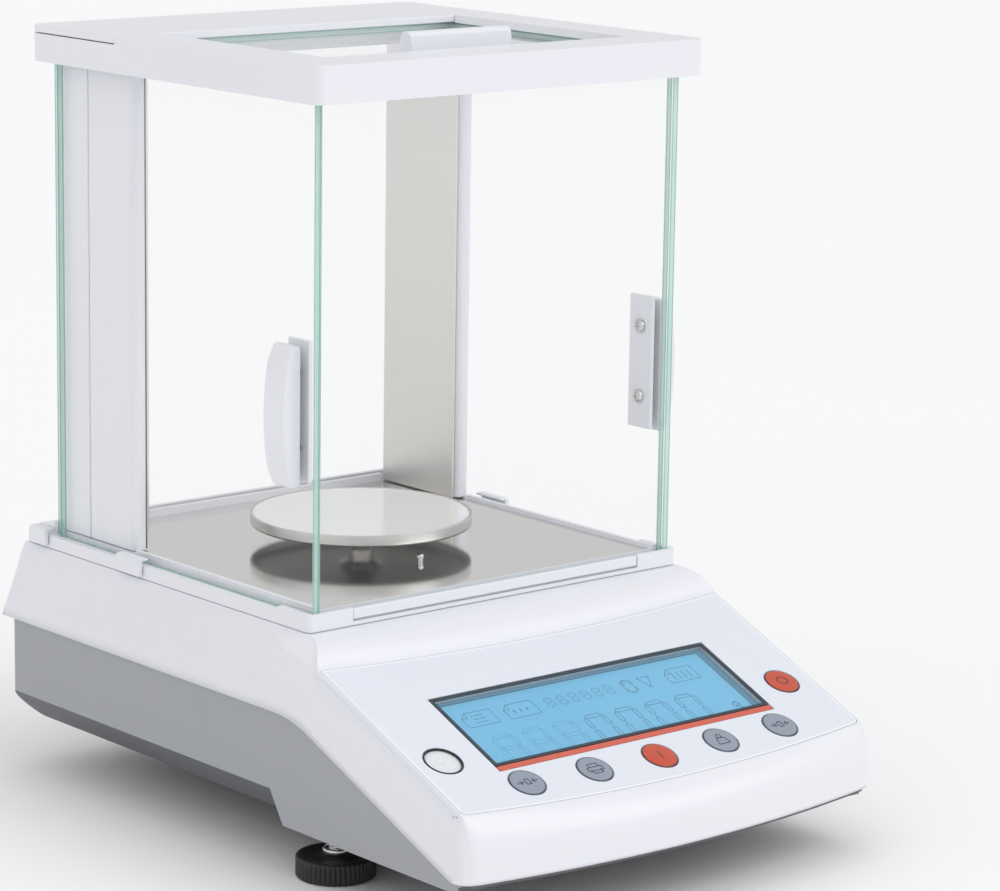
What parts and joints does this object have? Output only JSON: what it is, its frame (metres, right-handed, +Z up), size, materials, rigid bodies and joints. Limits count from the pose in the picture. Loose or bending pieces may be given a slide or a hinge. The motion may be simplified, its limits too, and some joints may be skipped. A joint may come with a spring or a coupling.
{
  "type": "analytical balance",
  "caption": "Analytical balance with a three-door glass draft shield, round steel weighing pan, sloping control console with display and keys, levelling feet and bubble level.",
  "frame": {"origin": "on the bench, under the centre of the instrument's plan outline", "axes": "+X to the operator's right, +Y from the console to the back, +Z up"},
  "size_m": [0.2146, 0.32, 0.3236],
  "materials": {
    "white_plastic": "moulded, light satin gloss",
    "grey_plastic": "moulded, fine matt texture",
    "brushed_steel": "brushed stainless",
    "satin_steel": "turned, satin",
    "alloy": "machined",
    "glass": "clear float glass with green edges",
    "window": "clear acrylic",
    "lcd": "backlit blue panel",
    "film": "printed polycarbonate film",
    "dark_frame": "dark printed border",
    "red_plastic": "moulded, gloss",
    "key_plastic": "moulded, gloss",
    "black_plastic": "moulded, matt",
    "vial": "liquid-filled vial",
    "board": "glass-fibre board with green solder mask"
  },
  "bodies": {
    "housing": {"upper_cover": "white_plastic", "chamber_frame": "white_plastic", "front_strip": "white_plastic", "cap_frame": "white_plastic", "cap_rear_cover": "white_plastic", "front_post_left": "white_plastic", "rear_post_left": "white_plastic", "rail_clip_front_left": "white_plastic", "rail_clip_rear_left": "white_plastic", "front_post_right": "white_plastic", "rear_post_right": "white_plastic", "rail_clip_front_right": "white_plastic", "rail_clip_rear_right": "white_plastic", "lower_shell": "grey_plastic", "floor_plate": "brushed_steel", "liner_left": "brushed_steel", "liner_right": "brushed_steel", "pan_spindle": "satin_steel", "serial_port": "satin_steel", "load_cell": "alloy", "load_cell_mount": "alloy", "chassis_plate": "alloy", "front_glass": "glass", "rear_glass": "glass", "display_window": "window", "lcd_module": "lcd", "control_overlay": "film", "display_bezel": "dark_frame", "accent_strip": "red_plastic", "rear_foot": "black_plastic", "power_inlet": "black_plastic", "level_ring": "black_plastic", "level_vial": "vial", "main_board": "board", "key_board": "board"},
    "door_left": {"door_glass_left": "glass", "door_handle_left": "white_plastic", "door_plate_left": "white_plastic", "door_screw_lower_left": "satin_steel", "door_screw_upper_left": "satin_steel"},
    "door_right": {"door_glass_right": "glass", "door_handle_right": "white_plastic", "door_plate_right": "white_plastic", "door_screw_lower_right": "satin_steel", "door_screw_upper_right": "satin_steel"},
    "top_door": {"top_door_glass": "glass", "top_door_handle": "white_plastic"},
    "pan": {"weighing_pan": "satin_steel", "pan_boss": "satin_steel"},
    "foot_left": {"foot_wheel_left": "black_plastic", "foot_stud_left": "satin_steel"},
    "foot_right": {"foot_wheel_right": "black_plastic", "foot_stud_right": "satin_steel"},
    "tare_key_left": {"tare_key_left": "key_plastic"},
    "print_key": {"print_key": "key_plastic"},
    "on_key": {"on_key": "red_plastic"},
    "calibrate_key": {"calibrate_key": "key_plastic"},
    "tare_key_right": {"tare_key_right": "key_plastic"},
    "off_key": {"off_key": "red_plastic"}
  },
  "joints": [
    {"name": "left_door_slide", "type": "slide", "parent": "housing", "child": "door_left", "axis": [0, 1, 0], "range_m": [0, 0.102]},
    {"name": "right_door_slide", "type": "slide", "parent": "housing", "child": "door_right", "axis": [0, 1, 0], "range_m": [0, 0.102]},
    {"name": "top_door_slide", "type": "slide", "parent": "housing", "child": "top_door", "axis": [0, 1, 0], "range_m": [0, 0.088]},
    {"name": "pan_lift", "type": "slide", "parent": "housing", "child": "pan", "axis": [0, 0, 1], "range_m": [0, 0.04]},
    {"name": "tare_key_left_press", "type": "slide", "parent": "housing", "child": "tare_key_left", "axis": [0, 0.3875, -0.9219], "range_m": [0, 0.0008], "stiffness_N_per_m": 1200},
    {"name": "print_key_press", "type": "slide", "parent": "housing", "child": "print_key", "axis": [0, 0.3875, -0.9219], "range_m": [0, 0.0008], "stiffness_N_per_m": 1200},
    {"name": "on_key_press", "type": "slide", "parent": "housing", "child": "on_key", "axis": [0, 0.3875, -0.9219], "range_m": [0, 0.0008], "stiffness_N_per_m": 1200},
    {"name": "calibrate_key_press", "type": "slide", "parent": "housing", "child": "calibrate_key", "axis": [0, 0.3875, -0.9219], "range_m": [0, 0.0008], "stiffness_N_per_m": 1200},
    {"name": "tare_key_right_press", "type": "slide", "parent": "housing", "child": "tare_key_right", "axis": [0, 0.3875, -0.9219], "range_m": [0, 0.0008], "stiffness_N_per_m": 1200},
    {"name": "off_key_press", "type": "slide", "parent": "housing", "child": "off_key", "axis": [0, 0.3875, -0.9219], "range_m": [0, 0.0008], "stiffness_N_per_m": 1200},
    {"name": "left_foot_turn", "type": "hinge", "parent": "housing", "child": "foot_left", "pos_m": [-0.089, -0.049, 0], "axis": [0, 0, 1], "continuous": true},
    {"name": "right_foot_turn", "type": "hinge", "parent": "housing", "child": "foot_right", "pos_m": [0.089, -0.049, 0], "axis": [0, 0, 1], "continuous": true}
  ]
}
